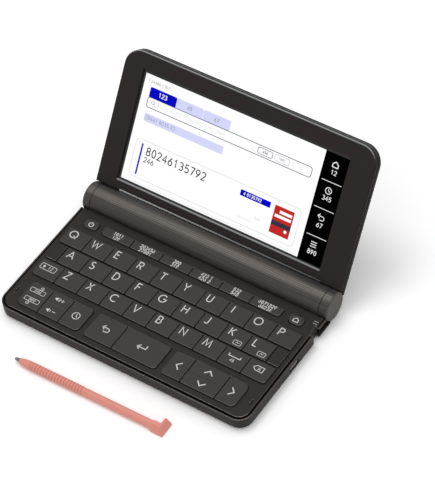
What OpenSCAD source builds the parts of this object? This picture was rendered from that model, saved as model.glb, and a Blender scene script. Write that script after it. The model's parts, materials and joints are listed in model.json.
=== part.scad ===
// Pocket electronic dictionary: keyboard base, battery barrel, hinged display lid and a loose stylus.
// X runs to the right, Y to the back and Z up. The table is at Z = 0 and the lid is drawn open.

/* [Base] */
// Width of the base and of the barrel
body_w = 155; // [148:0.5:165]
// Height of the keyboard deck above the table
deck_z = 8.3; // [8.1:0.1:9]
// Thickness of the deck plate
deck_t = 1.2; // [1:0.1:1.3]
// Height of the case's ledge, which the deck's edge stands on, above the table
rim_z = 5.9; // [5.7:0.1:6]
// Thickness of the lip round the case, outside the ledge
lip_t = 0.7; // [0.5:0.1:0.8]
// How far the lip's top lies below the deck
lip_drop = 0.3; // [0.2:0.1:0.8]
// Radius of the base's front corners
corner_r = 7.5; // [5:0.5:10]
// How far the deck stands in from the case's front edge
deck_inset_front = 1.9; // [1.4:0.1:2.2]
// How far the deck stands in from the case's sides
deck_inset_side = 1.7; // [1.3:0.1:2.1]
// Thickness of the case's side walls
case_wall = 2.6; // [2.4:0.1:2.8]
// Thickness of the case's floor
case_floor = 1.2; // [1:0.1:1.3]
// Distance from the front edge to the front feet's middle
foot_y = 9; // [7:0.5:14]
// Distance from the base's sides to the front feet's middle
foot_in = 20; // [14:0.5:26]
// Length of the feet
foot_len = 14; // [10:0.5:16]
// Width of the feet
foot_w = 5; // [4:0.1:5.6]
// How far the feet are let in
foot_seat = 0.4; // [0.3:0.05:0.5]
// How far the case's sides draw in at the floor
case_lean = 0.6; // [0.3:0.1:1.2]
// Height of the rubber feet
foot_h = 0.6; // [0.5:0.1:0.7]

/* [Barrel and hinge] */
// Distance from the case's front edge to the hinge axis
hinge_y = 85.2; // [84.8:0.2:88]
// Height of the hinge axis above the table
hinge_z = 9; // [9:0.1:9.2]
// Radius of the barrel
barrel_r = 8.4; // [8.3:0.05:8.4]
// Wall of the barrel round the cells
barrel_wall = 1.05; // [0.9:0.05:1.1]
// Length of each end cap
cap_w = 5; // [4.6:0.2:5.4]
// Radius of the hinge pins
pin_r = 2; // [1.6:0.1:2.4]
// Length of the hinge pins inside the barrel
pin_len = 11; // [9:0.5:12]
// Radial clearance of the hinge pins
pin_clearance = 0.06; // [0.04:0.01:0.09]
// Gap between pieces that turn past each other
turn_gap = 0.3; // [0.25:0.05:0.35]

/* [Batteries] */
// Radius of one AA cell
cell_r = 7.1; // [6.9:0.05:7.15]
// Length of one AA cell with its button
cell_len = 50.5; // [49.5:0.1:50.5]
// Room for the two contact springs
spring_room = 5; // [3:0.5:6]
// Height of the battery door's upper edge above the table
door_z = 3.2; // [2.8:0.1:3.4]

/* [Lid] */
// Angle between the closed and the drawn lid
lid_open = 124; // [110:1:140]
// Length of the lid from the hinge axis
lid_len = 86.4; // [84.8:0.1:86.8]
// Thickness of the lid
lid_t = 6.2; // [6:0.1:6.6]
// Distance of the lid's front face behind the hinge axis
lid_back_set = 1.4; // [1.3:0.1:1.6]
// Radius of the lid's outer corners
lid_corner_r = 10; // [6:0.5:14]
// Thickness of the front bezel
bezel_t = 2.4; // [2.2:0.1:2.6]
// Height of the groove between the bezel and the back cover
lid_groove = 0.5; // [0.3:0.1:0.6]
// Wall of the lid's back cover
lid_wall = 1.9; // [1.6:0.1:2]

/* [Display] */
// Distance from the lid's right side to the window
screen_right = 15.1; // [13:0.1:17]
// Height of the display window
screen_h = 61.8; // [58:0.1:63]
// Distance from the lid's left side to the window
screen_left = 12.5; // [11.5:0.1:14]
// Distance from the hinge axis to the window's lower edge
screen_low = 15; // [14.5:0.1:15.5]
// Depth of the display below the bezel's face
screen_recess = 1.2; // [1:0.1:1.4]
// Thickness of the display panel
panel_t = 2.6; // [2.2:0.1:2.8]
// Border of the panel behind the bezel
panel_border = 2; // [1.5:0.1:2.4]

/* [Keys] */
// Distance from the base's left side to the letter rows
rows_left = 3.95; // [3.9:0.05:4.6]
// Distance from the base's right side to the letter rows
rows_right = 4.45; // [3.9:0.05:4.6]
// Shift of the middle letter row against the others, in keys
row_shift = 0.51; // [0.48:0.01:0.54]
// Front edge of the lowest letter row
rows_y = 25.6; // [25.2:0.1:26]
// Distance between the letter rows
row_pitch = 12.35; // [12.3:0.05:12.4]
// Depth of a letter key
key_deep = 11.1; // [10.6:0.1:11.1]
// Gap between neighbouring key tops
key_gap = 0.45; // [0.3:0.05:0.6]
// Height of the letter keys above the deck
key_rise = 1; // [0.8:0.05:1.1]
// Height of the other keys above the deck
low_rise = 0.85; // [0.7:0.05:1]
// Travel of a key
key_travel = 0.8; // [0.5:0.05:0.8]
// Clearance between a key and its opening
key_clearance = 0.25; // [0.15:0.01:0.25]
// Bevel round a key's top
key_bevel = 0.25; // [0.15:0.05:0.35]
// Front edge of the key groups near the hand rest
group_y = 5.5; // [5.2:0.1:5.8]
// Depth of the key groups
group_deep = 15.9; // [15:0.1:16.2]
// Front edge of the function keys
function_y = 65.4; // [65:0.1:65.5]
// Depth of the function keys
function_deep = 5.6; // [5:0.1:5.7]
// Distance from the base's side to the power and the home key
end_key_in = 8.3; // [7.6:0.1:9]
// Width of the power and the home key
end_key_w = 8.85; // [8:0.05:9.2]
// Gap between the power key and the function keys
power_gap = 3.3; // [3:0.1:4.6]
// Gap between the function keys and the home key
home_gap = 4.2; // [3:0.1:4.6]
// Distance from the base's left side to the key groups near the hand rest
group_left = 9; // [8:0.1:10]
// Distance from the base's right side to the key groups near the hand rest
group_right = 9.8; // [8:0.1:10]
// Gap between the key groups
group_gap = 3.3; // [3:0.1:4]
// Widths of the page keys, the volume keys and the history key
side_widths = [13.45, 13.4, 12.75]; // [11:0.05:14]
// Width of the back key
back_w = 17.9; // [16:0.1:20]
// Widths of the left key, the up and down rocker and the right key
arrow_widths = [11.6, 21, 11.9]; // [10:0.1:21]

/* [Stylus] */
// Radius of the stylus shaft
stylus_r = 2.2; // [2:0.05:2.3]
// Depth of the grip's ribs
rib_deep = 0.15; // [0.1:0.05:0.2]
// Number of the grip's ribs
ribs = 18; // [8:1:26]
// Distance from the stylus's tip to the grip
grip_x0 = 10.6; // [9.6:0.2:14]
// Distance from the stylus's tip to the grip's end
grip_x1 = 43; // [30:1:56]
// Length of the stylus with its head
stylus_len = 93; // [88:0.5:96]
// How far the head's arm reaches from the shaft's axis
arm_len = 6.6; // [5:0.2:8]
// Width of the head's arm
arm_w = 3.4; // [3:0.1:4.4]
// Radial clearance of the stylus in its tube
tube_clearance = 0.2; // [0.15:0.01:0.22]
// Distance from the case's front edge to the loose stylus
stylus_ahead = 20.9; // [16:0.5:26]
// Width of the finger notch in the right side
notch_w = 5.6; // [5:0.1:6]
// Depth of the finger notch in the right side
notch_deep = 2.4; // [2:0.1:2.6]
// Turn of the loose stylus on the table
stylus_turn = 0.7; // [0:0.1:3]

/* [Hidden] */
$fn = 64;
eps = 0.01;
corner_steps = 8;

// The barrel, its caps and the lid's swing clearance
swing_r = barrel_r + turn_gap + 0.05;
barrel_x0 = cap_w + turn_gap;
barrel_x1 = body_w - cap_w - turn_gap;
pin_bore_r = pin_r + pin_clearance;
pin_bore_len = pin_len + 1;
bay_r = barrel_r - barrel_wall;
bay_len = 2*cell_len + spring_room;
bay_x0 = (body_w - bay_len)/2;
cell_front = 2;
button_r = 2.7;
button_len = 1;
door_fit = 0.2;
door_front = 0.6;
grip_grooves = 3;
grip_groove_w = 0.7;
grip_groove_len = 16;
grip_groove_deep = 0.35;

// The base's levels, counted up from the table
floor_z = foot_h + case_floor;
deck_under = deck_z - deck_t;
lip_z = deck_z - lip_drop;
case_back = hinge_y - 4;
deck_back = hinge_y - 5;
block_back = hinge_y - 6;
deck_corner_r = corner_r - deck_inset_side;
wall_corner_r = corner_r - case_wall;
front_wall = case_wall + 0.3;
side_straight = 1.8;

// Wells for the screws under the posts
well_r = 2.1;
well_deep = 0.9;

// Posts under the circuit board, and the slits near the deck's front corners
post_in = 30;
post_x = [post_in, body_w/2, body_w - post_in];
post_y = [12, 58];
post_r = 2.6;
slit_in = 4.2;
slit_y = 12.4;
slit_len = 3;
slit_w = 0.6;
slit_deep = 0.6;
pit_r = 0.7;
mark_y = 20;
mark_len = 1.5;

// The key mechanism's levels
flange_t = 0.6;
flange_out = 0.45;
flange_in = 2.8;
stem_r = 1.6;
flange_top = deck_under - 0.2;
flange_low = flange_top - flange_t;
stem_low = flange_low - 0.55;
switch_top = stem_low - key_travel - 0.05;
board_z = floor_z + 0.8;
board_t = 1.2;
board_top = board_z + board_t;
board_gap = 0.6;
dome_r = 2.4;
dome_top_r = 1.8;
rocker_pivot_r = 0.5;
rocker_pivot_in = 5;
rocker_pivot_z = flange_low;
rocker_line_w = 0.24;
rocker_line_deep = 0.25;

// The stylus tube and the recess for the stylus's head
tube_r = stylus_r + rib_deep + tube_clearance;
tube_y = hinge_y - 10.6;
tube_z = foot_h + 3.35;
tube_wall = 0.75;
tube_block_y = tube_y - tube_r - 0.15;
recess_x = body_w - 7;
recess_floor = tube_z - tube_r - 0.1;
recess_wall = 0.8;
tube_deep = stylus_len - 8.5;
head_out = 3;
head_half = stylus_r + rib_deep;
recess_y = tube_y - head_out - 0.4;
recess_top = tube_z + head_half + 0.3;
notch_x = body_w - notch_deep;
notch_y = 64.4;
notch_r = 1.9;

// The slot between two ribs on the deck behind the finger notch
strap_x0 = body_w - 4.5;
strap_x1 = body_w - deck_inset_side - 0.4;
strap_y = 71.4;
strap_w = 0.9;
strap_rib_w = 0.55;
strap_rib_h = 0.25;
apron_deep = 0.4;
apron_rise = 0.3;

// The socket in the right side
port_y = 46.2;
port_w = 7.6;
port_h = 2.6;
port_z = 3.9;
port_shell = 0.4;
port_gap = 0.3;
port_reach = 7.6;

// The lid in its own frame: X right, Y away from the hinge, Z towards the reader
lid_edge = 0.45;
groove_deep = 0.7;
step_rise = 0.4;
bezel_start = 6;
cover_start = 2;
hinge_wall = 1.2;
window_slope = 0.5;
window_slope_low = 1;
pocket_fit = 0.1;
lid_face_z = -lid_back_set;
bezel_back_z = lid_face_z - bezel_t;
cover_front_z = bezel_back_z - lid_groove;
lid_rear_z = lid_face_z - lid_t;
cover_profile = [[0, lid_rear_z + 0.9], [0.4, lid_rear_z + 0.3], [1.2, lid_rear_z]];
screen_w = body_w - screen_left - screen_right;
screen_z = lid_face_z - screen_recess;
panel_back_z = screen_z - panel_t;
cover_floor_t = 1.2;
rail_in = 4;
rail_w = 2;
trim_w = 1.05;
trim_x0 = 15.5;
trim_x1 = body_w - 12.5;
trim_proud = 0.15;
trim_deep = 0.8;
tab_x0 = 2.1;
tab_x1 = cap_w - 0.2;
tab_t = 1.4;
tab_v = 18;
tab_gap = 0.2;
tab_fit = 0.15;
tab_low = lid_rear_z + cover_floor_t + tab_gap;

// Where the drawn part's middle lies, so that the origin is under the middle of the whole part
lid_angle = 180 - lid_open;
head_len = 9.6;
head_in = 1.9;
head_slope = 2.1;
flare_len = 2.5;
head_round = 0.6;
arm_round = 1.1;
arm_top_round = 0.5;
stylus_x0 = 27.3;
head_x1 = stylus_len - head_len + flare_len;
near_y = -stylus_ahead + min(
    grip_x0*sin(stylus_turn) - head_half*cos(stylus_turn),
    (head_x1 + head_round)*sin(stylus_turn) - (head_out - head_round)*cos(stylus_turn) - head_round);
far_y = hinge_y + max([for (p = cover_profile) (lid_len - p[0])*cos(lid_angle) - p[1]*sin(lid_angle)]);
origin_y = (near_y + far_y)/2;

body_color = "#37322f";
key_color = "#46413e";
barrel_color = "#5a554c";

// Keys: name, left, right, front, back, rise, then the corner radii from front left round to back left
square_corners = [0.4, 0.4, 0.3, 0.3];
row_1_y = rows_y + 2*row_pitch;
row_2_y = rows_y + row_pitch;
key_pitch = (body_w - rows_left - rows_right)/10;
row_2_x = rows_left + row_shift*key_pitch;
rows_x1 = rows_left + 10*key_pitch;

function with_corner(corners, i, r) = [for (c = [0:3]) c == i ? r : corners[c]];
function row_corners(i, last, r) =
    i == 0 ? with_corner(square_corners, 0, r) :
    i == last ? with_corner(square_corners, 1, r) : square_corners;
function key_row(names, x, y, deep, pitch, rise, r) = [
    for (i = [0:len(names) - 1])
        [names[i], x + i*pitch, x + (i + 1)*pitch, y, y + deep, rise, row_corners(i, len(names) - 1, r)]
];
function letter_names(word) = [for (c = word) str("key_", c)];

TOP_ROW = key_row(letter_names("qwertyuiop"), rows_left, row_1_y, key_deep, key_pitch, key_rise, 0.6);
MIDDLE_ROW = key_row(letter_names("asdfghjkl"), row_2_x, row_2_y, key_deep, key_pitch, key_rise, 0.4);
LOW_ROW = key_row(
    concat(["key_shift"], letter_names("zxcvbnm"), ["key_space", "key_delete"]),
    rows_left, rows_y, key_deep, key_pitch, key_rise, 1.8);

power_x = [end_key_in, end_key_in + end_key_w];
home_x = [body_w - end_key_in - end_key_w, body_w - end_key_in];
function_x = [power_x[1] + power_gap, home_x[0] - home_gap];
function_back = function_y + function_deep;
FUNCTION_ROW = key_row(
    [for (i = [1:6]) str("function_key_", i)],
    function_x[0], function_y, function_deep, (function_x[1] - function_x[0])/6, low_rise, 2);

group_mid = group_y + group_deep/2;
group_back = group_y + group_deep;
function sum_to(widths, i) = i == 0 ? 0 : widths[i - 1] + sum_to(widths, i - 1);
function ends(x, widths) = [for (i = [0:len(widths)]) x + sum_to(widths, i)];
side_x = ends(group_left, side_widths);
arrow_x = ends(body_w - group_right - sum_to(arrow_widths, 3), arrow_widths);
centre_x = [side_x[3] + group_gap, side_x[3] + group_gap + back_w, arrow_x[0] - group_gap];

SIDE_GROUP = [
    ["page_up_key", side_x[0], side_x[1], group_mid, group_back, low_rise, [0.3, 0.3, 0.3, 2]],
    ["page_down_key", side_x[0], side_x[1], group_y, group_mid, low_rise, [2.6, 0.3, 0.3, 0.3]],
    ["volume_up_key", side_x[1], side_x[2], group_mid, group_back, low_rise, square_corners],
    ["volume_down_key", side_x[1], side_x[2], group_y, group_mid, low_rise, square_corners],
    ["history_key", side_x[2], side_x[3], group_y, group_back, low_rise, [0.3, 2.6, 1.6, 0.3]],
];
CENTRE_GROUP = [
    ["back_key", centre_x[0], centre_x[1], group_y, group_back, low_rise, [1, 0.3, 0.3, 1]],
    ["enter_key", centre_x[1], centre_x[2], group_y, group_back, low_rise, [0.3, 2.2, 1.4, 0.3]],
];
ROCKER = ["up_down_rocker", arrow_x[1], arrow_x[2], group_y, group_back, low_rise, square_corners];
ARROW_GROUP = [
    ["left_key", arrow_x[0], arrow_x[1], group_y, group_back, low_rise, [0.8, 0.3, 0.3, 1]],
    ["right_key", arrow_x[2], arrow_x[3], group_y, group_back, low_rise, [0.3, 3, 2.6, 0.3]],
];
POWER_KEY = ["power_key", power_x[0], power_x[1], function_y, function_back, low_rise, [2, 2, 1.6, 1.6]];
HOME_KEY = ["home_key", home_x[0], home_x[1], function_y, function_back, low_rise, [2.6, 2.6, 1.8, 1.8]];

KEYS = concat(
    [POWER_KEY], FUNCTION_ROW, [HOME_KEY], TOP_ROW, MIDDLE_ROW, LOW_ROW,
    SIDE_GROUP, CENTRE_GROUP, ARROW_GROUP);

// Openings in the deck, one round each set of keys that stand side by side
function opening_round(low, high, last) = [
    low[1], last[2], low[3], high[4],
    [low[6][0], last[6][1], last[6][2], high[6][3]] + [for (i = [0:3]) key_clearance]
];
OPENINGS = [
    opening_round(POWER_KEY, POWER_KEY, POWER_KEY),
    opening_round(FUNCTION_ROW[0], FUNCTION_ROW[0], FUNCTION_ROW[5]),
    opening_round(HOME_KEY, HOME_KEY, HOME_KEY),
    opening_round(TOP_ROW[0], TOP_ROW[0], TOP_ROW[9]),
    opening_round(MIDDLE_ROW[0], MIDDLE_ROW[0], MIDDLE_ROW[8]),
    opening_round(LOW_ROW[0], LOW_ROW[0], LOW_ROW[9]),
    opening_round(SIDE_GROUP[1], SIDE_GROUP[0], SIDE_GROUP[4]),
    opening_round(CENTRE_GROUP[0], CENTRE_GROUP[0], CENTRE_GROUP[1]),
    opening_round(ARROW_GROUP[0], ARROW_GROUP[0], ARROW_GROUP[1]),
];

BASE_NODES = [
    "bottom_case", "top_cover", "key_board", "battery_barrel", "batteries", "rubber_feet", "battery_door",
    "lid_bezel", "lid_back", "display_panel", "lid_trim", "hinge_caps", "stylus", "up_down_rocker"
];

// An outline with its own radius at each corner, from front left round to back left
function arc(cx, cy, r, from) = let (n = r < 1 ? 2 : corner_steps) [
    for (i = [0:n]) [cx + r*cos(from + 90*i/n), cy + r*sin(from + 90*i/n)]
];
function outline(x0, x1, y0, y1, r) = concat(
    arc(x0 + r[0], y0 + r[0], r[0], 180),
    arc(x1 - r[1], y0 + r[1], r[1], 270),
    arc(x1 - r[2], y1 - r[2], r[2], 0),
    arc(x0 + r[3], y1 - r[3], r[3], 90));

module slab(x0, x1, y0, y1, z0, z1, r) {
    translate([0, 0, z0]) linear_extrude(z1 - z0) polygon(outline(x0, x1, y0, y1, r));
}

// A box from its lowest to its highest corner
module box(low, high) {
    translate(low) cube(high - low);
}

// A cylinder along X on the hinge axis
module on_hinge(x0, x1, r) {
    translate([x0, hinge_y, hinge_z]) rotate([0, 90, 0]) cylinder(r = r, h = x1 - x0, $fn = 96);
}

// A cylinder along X in the stylus tube
module in_tube(x0, x1, r) {
    translate([x0, tube_y, tube_z]) rotate([0, 90, 0]) cylinder(r = r, h = x1 - x0);
}

// Everything is placed so that the origin is on the table, under the middle of the whole part
module placed() {
    translate([-body_w/2, -origin_y, 0]) children();
}

// The lid's own frame, set on the hinge at the drawn angle
module on_lid() {
    placed() translate([0, hinge_y, hinge_z]) rotate([lid_angle, 0, 0]) children();
}

module barrel_clearance() {
    on_hinge(barrel_x0, barrel_x1, barrel_r);
    on_hinge(-1, barrel_x0 + eps, swing_r);
    on_hinge(barrel_x1 - eps, body_w + 1, swing_r);
}

// The roofed recess for the stylus's head, and the open notch in which a finger reaches the head's arm
module head_recess(margin) {
    slab(recess_x - margin, body_w + 5, recess_y - margin, hinge_y, recess_floor - margin, recess_top,
        [0.8, 0.1, 0.1, 0.1]);
    slab(notch_x - margin, body_w + 5, notch_y - margin, recess_y + 1, recess_floor - margin, recess_top,
        [notch_r, 0.1, 0.1, 0.1]);
    slab(notch_x - margin, body_w + 5, notch_y - margin, notch_y + notch_w + margin, -1, deck_z + 1,
        [notch_r, 0.1, 0.1, 0.5]);
}

// One oblong foot
module foot_outline(x, y, deep, z0, z1) {
    slab(x - foot_len/2, x + foot_len/2, y - deep/2, y + deep/2, z0, z1, [for (i = [0:3]) deep/2 - 0.1]);
}

module front_feet(z0, z1) {
    for (x = [foot_in, body_w - foot_in]) foot_outline(x, foot_y, foot_w, z0, z1);
}

// The rear feet sit under the solid ends of the barrel
module rear_feet(z0, z1) {
    for (x = [barrel_x0, barrel_x1 - foot_len]) foot_outline(x + foot_len/2, hinge_y, foot_w, z0, z1);
}

// The case's outline at one level, drawn in by an inset
module case_level(inset, z0, z1) {
    slab(inset, body_w - inset, inset, case_back, z0, z1, [corner_r, corner_r, 1, 1]);
}

module bottom_case() {
    color(body_color) placed() difference() {
        union() {
            difference() {
                hull() {
                    case_level(0, rim_z - side_straight, lip_z);
                    case_level(case_lean/3, foot_h + case_lean, foot_h + case_lean + 0.2);
                    case_level(case_lean, foot_h, foot_h + 0.2);
                }
                // Ledge for the deck inside the thin lip
                slab(lip_t, body_w - lip_t, lip_t, hinge_y, rim_z, deck_z,
                    [corner_r - lip_t, corner_r - lip_t, 0.5, 0.5]);
            }
            // Tube block, which also carries the deck's back edge
            box([deck_inset_side, tube_block_y, rim_z - 1], [recess_x + 1, block_back, deck_under]);
        }
        difference() {
            slab(case_wall, body_w - case_wall, case_wall, tube_y - tube_r - tube_wall, floor_z, rim_z + 1,
                [wall_corner_r, wall_corner_r, 0.5, 0.5]);
            head_recess(recess_wall);
            // Posts under the circuit board
            for (x = post_x, y = post_y) translate([x, y, 0]) cylinder(r = post_r, h = board_z);
        }
        barrel_clearance();
        head_recess(0);
        // Over the recess the deck's roof carries the lip
        box([body_w - deck_inset_side, notch_y + 1, rim_z], [body_w + 1, hinge_y, deck_z]);
        in_tube(recess_x - tube_deep, recess_x + 1, tube_r);
        // Socket opening in the right side
        box([body_w - case_wall - 1, port_y - port_w/2 - port_gap, port_z - port_h/2 - port_gap],
            [body_w + 1, port_y + port_w/2 + port_gap, port_z + port_h/2 + port_gap]);
        // Seats of the front feet
        front_feet(-1, foot_h + foot_seat);
        // Wells for the screws
        for (x = post_x, y = post_y)
            translate([x, y, 0]) cylinder(r = well_r, h = foot_h + well_deep, $fn = 32);
    }
}

module deck_slit(x, y, len) {
    slab(x - slit_w/2, x + slit_w/2, y, y + len, deck_z - slit_deep, deck_z + 1,
        [for (i = [0:3]) slit_w/2 - 0.05]);
}

module blank_pad(x0, x1, corners) {
    slab(x0, x1, row_2_y, row_2_y + key_deep, deck_z - eps, deck_z + key_rise, corners);
}

module top_cover() {
    color(body_color) placed() difference() {
        union() {
            // Deck, with the edge that stands on the case's ledge and leaves a groove inside the lip
            difference() {
                slab(deck_inset_side, body_w - deck_inset_side, deck_inset_front, deck_back, rim_z, deck_z,
                    [deck_corner_r, deck_corner_r, 0.5, 0.5]);
                slab(case_wall, body_w - case_wall, front_wall, tube_y, rim_z - 1, deck_under,
                    [wall_corner_r, wall_corner_r, 0.5, 0.5]);
                box([0, tube_block_y, rim_z - 1], [body_w, hinge_y, deck_under]);
            }
            blank_pad(rows_left, row_2_x - key_gap, [0.6, 0.4, 0.4, 0.6]);
            blank_pad(MIDDLE_ROW[8][2] + key_gap, rows_x1, [0.4, 0.6, 0.6, 0.4]);
            // Ribs on both sides of the slot
            for (y = [strap_y - strap_rib_w, strap_y + strap_w])
                box([strap_x0, y, deck_z - eps], [strap_x1, y + strap_rib_w, deck_z + strap_rib_h]);
            // The roof's outer edge over the recess, on which the lip and the groove go on
            box([recess_x + 1, notch_y + notch_w, deck_under - apron_deep],
                [body_w, deck_back, deck_under + apron_rise]);
            box([body_w - lip_t, notch_y + notch_w, deck_under], [body_w, deck_back, lip_z]);
        }
        for (o = OPENINGS)
            slab(o[0] + key_gap/2 - key_clearance, o[1] - key_gap/2 + key_clearance,
                o[2] - key_clearance, o[3] + key_clearance, deck_under - 1, deck_z + 2, o[4]);
        barrel_clearance();
        head_recess(0);
        // Small pits with a slit near the front corners, and a short slit by itself on the left
        for (x = [slit_in, body_w - slit_in]) {
            deck_slit(x, slit_y, slit_len);
            translate([x, slit_y, deck_z - slit_deep]) cylinder(r = pit_r, h = 1, $fn = 24);
        }
        deck_slit(slit_in, mark_y, mark_len);
        // Slot between the ribs behind the finger notch
        box([strap_x0, strap_y, recess_top - 1], [strap_x1, strap_y + strap_w, deck_z + 1]);
    }
}

// One key: bevelled cap, flange that stops it under the deck, and the stem over its switch
module key_top(k) {
    x0 = k[1] + key_gap/2;
    x1 = k[2] - key_gap/2;
    top = deck_z + k[5];
    hull() {
        slab(x0, x1, k[3], k[4], flange_low, top - key_bevel, k[6]);
        slab(x0 + key_bevel, x1 - key_bevel, k[3] + key_bevel, k[4] - key_bevel, top - key_bevel, top, k[6]);
    }
}

module key_stem(x, y) {
    translate([x, y, stem_low]) cylinder(r = stem_r, h = flange_low - stem_low + eps);
}

module key(k) {
    color(key_color) placed() {
        key_top(k);
        key_flange(k);
        key_stem((k[1] + k[2])/2, (k[3] + k[4])/2);
    }
}

// Flanges are left off where two keys of a group meet, and behind the function keys, next to the tube
module key_flange(k) {
    front = k[3] == group_mid ? 0 : flange_out;
    back = k[4] == group_mid || k[4] == function_back ? 0 : flange_out;
    box([k[1] + flange_in, k[3] - front, flange_low], [k[2] - flange_in, k[4] + back, flange_top]);
}

rocker_pivot_x = [ROCKER[1] + rocker_pivot_in, ROCKER[2] - rocker_pivot_in];

// One key for up and down that tips about a ridge on the circuit board
module up_down_rocker() {
    color(key_color) placed() difference() {
        union() {
            key_top(ROCKER);
            for (side = [-1, 1]) key_stem((ROCKER[1] + ROCKER[2])/2, group_mid + side*group_deep/4);
        }
        translate([ROCKER[1], group_mid, rocker_pivot_z]) rotate([0, 90, 0])
            cylinder(r = rocker_pivot_r + 0.1, h = ROCKER[2] - ROCKER[1], $fn = 32);
        // Fine line between the two halves of the key
        box([ROCKER[1], group_mid - rocker_line_w/2, deck_z + low_rise - rocker_line_deep],
            [ROCKER[2], group_mid + rocker_line_w/2, deck_z + 2]);
    }
}

module switch_dome(x, y) {
    translate([x, y, board_top - eps])
        cylinder(r1 = dome_r, r2 = dome_top_r, h = switch_top - board_top + eps, $fn = 24);
}

module key_board() {
    color("#2f5a3c") placed() difference() {
        union() {
            difference() {
                slab(case_wall + board_gap, body_w - case_wall - board_gap, case_wall + board_gap,
                    tube_y - tube_r - tube_wall - board_gap, board_z, board_top, [4, 4, 0.5, 0.5]);
                head_recess(recess_wall + board_gap);
            }
            for (k = KEYS) switch_dome((k[1] + k[2])/2, (k[3] + k[4])/2);
            for (side = [-1, 1]) switch_dome((ROCKER[1] + ROCKER[2])/2, group_mid + side*group_deep/4);
            // Ridge that the rocker tips on
            box([rocker_pivot_x[0], group_mid - rocker_pivot_r, board_top - eps],
                [rocker_pivot_x[1], group_mid + rocker_pivot_r, rocker_pivot_z]);
            translate([rocker_pivot_x[0], group_mid, rocker_pivot_z]) rotate([0, 90, 0])
                cylinder(r = rocker_pivot_r, h = rocker_pivot_x[1] - rocker_pivot_x[0], $fn = 32);
            // Socket shell
            box([body_w - port_reach - 0.6, port_y - port_w/2, port_z - port_h/2],
                [body_w - 0.9, port_y + port_w/2, port_z + port_h/2]);
        }
        box([body_w - port_reach, port_y - port_w/2 + port_shell, port_z - port_h/2 + port_shell],
            [body_w, port_y + port_w/2 - port_shell, port_z + port_h/2 - port_shell]);
    }
}

// The opening that the battery door closes, with its clearance
module door_cut(fit) {
    box([bay_x0 - fit + door_fit, hinge_y - door_front - fit, -1],
        [body_w - bay_x0 + fit - door_fit, hinge_y + barrel_r + 1, door_z + fit]);
}

module battery_barrel() {
    color(barrel_color) placed() difference() {
        on_hinge(barrel_x0, barrel_x1, barrel_r);
        on_hinge(bay_x0, body_w - bay_x0, bay_r);
        on_hinge(barrel_x0 - 1, barrel_x0 + pin_bore_len, pin_bore_r);
        on_hinge(barrel_x1 - pin_bore_len, barrel_x1 + 1, pin_bore_r);
        door_cut(door_fit);
        rear_feet(-1, foot_h + foot_seat);
    }
}

// Short grooves across the battery door, for the thumb that slides it
module door_grip() {
    difference() {
        for (i = [0:grip_grooves - 1])
            box([body_w/2 - grip_groove_len/2, hinge_y + (i + 1)*2*grip_groove_w, -1],
                [body_w/2 + grip_groove_len/2, hinge_y + (i + 1)*2*grip_groove_w + grip_groove_w, door_z]);
        on_hinge(0, body_w, barrel_r - grip_groove_deep);
    }
}

module battery_door() {
    color(barrel_color) placed() intersection() {
        difference() {
            on_hinge(bay_x0, body_w - bay_x0, barrel_r);
            on_hinge(bay_x0 - 1, body_w - bay_x0 + 1, bay_r + 0.1);
            door_grip();
        }
        door_cut(0);
    }
}

// One AA cell with its button to the right
module cell(x0) {
    on_hinge(x0, x0 + cell_len - button_len, cell_r);
    on_hinge(x0 + cell_len - button_len - eps, x0 + cell_len, button_r);
}

// Two AA cells, end to end
module batteries() {
    color("#b9bcc0") placed() for (i = [0, 1]) cell(bay_x0 + cell_front + i*(cell_len + eps));
}

// Two oblong pads in the case and two under the barrel
module rubber_feet() {
    color("#1b1b1b") placed() {
        front_feet(0, foot_h + foot_seat);
        rear_feet(0, foot_h + foot_seat);
    }
}

// The lid's outline, drawn in by an inset
module lid_slab(inset, z0, z1, y0) {
    r = lid_corner_r - inset;
    slab(inset, body_w - inset, y0, lid_len - inset, z0, z1, [1.2, 1.2, r, r]);
}

// Everything nearer to the hinge axis than the barrel's swing clearance, in the lid's frame
module lid_hinge_cut(r) {
    translate([-1, 0, 0]) rotate([0, 90, 0]) cylinder(r = r, h = body_w + 2, $fn = 96);
}

module lid_bezel() {
    color(body_color) on_lid() difference() {
        hull() {
            lid_slab(0, bezel_back_z, lid_face_z - lid_edge, bezel_start);
            lid_slab(lid_edge, lid_face_z - lid_edge, lid_face_z, bezel_start);
        }
        lid_hinge_cut(swing_r);
        // Window with sloping sides, and the panel's pocket behind it
        hull() {
            slab(screen_left, screen_left + screen_w, screen_low, screen_low + screen_h,
                screen_z - 1, screen_z, [0.1, 0.1, 0.1, 0.1]);
            slab(screen_left - window_slope, screen_left + screen_w + window_slope,
                screen_low - window_slope_low, screen_low + screen_h + window_slope,
                lid_face_z, lid_face_z + 1, [0.3, 0.3, 0.3, 0.3]);
        }
        panel_space(pocket_fit, bezel_back_z - 1, screen_z);
        trim_strip(lid_face_z + 1);
        // Step that forms the groove in the lid's edge
        difference() {
            box([-1, -1, bezel_back_z - 1], [body_w + 1, lid_len + 1, bezel_back_z + step_rise]);
            lid_slab(groove_deep, bezel_back_z - 2, bezel_back_z + 1, cover_start);
        }
    }
}

module panel_space(gap, z0, z1) {
    box([screen_left - panel_border - gap, screen_low - panel_border - gap, z0],
        [screen_left + screen_w + panel_border + gap, screen_low + screen_h + panel_border + gap, z1]);
}

module trim_strip(top) {
    low = sqrt(pow(swing_r, 2) - pow(lid_back_set, 2)) - 0.5;
    slab(trim_x0, trim_x1, low, low + 0.5 + trim_w, lid_face_z - trim_deep, top, [0.1, 0.1, 0.45, 0.45]);
}

module lid_trim() {
    color("#c9c9c9") on_lid() difference() {
        trim_strip(lid_face_z + trim_proud);
        lid_hinge_cut(swing_r);
    }
}

module display_panel() {
    color("#e8ecf4") on_lid() panel_space(0, panel_back_z, screen_z);
}

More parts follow.
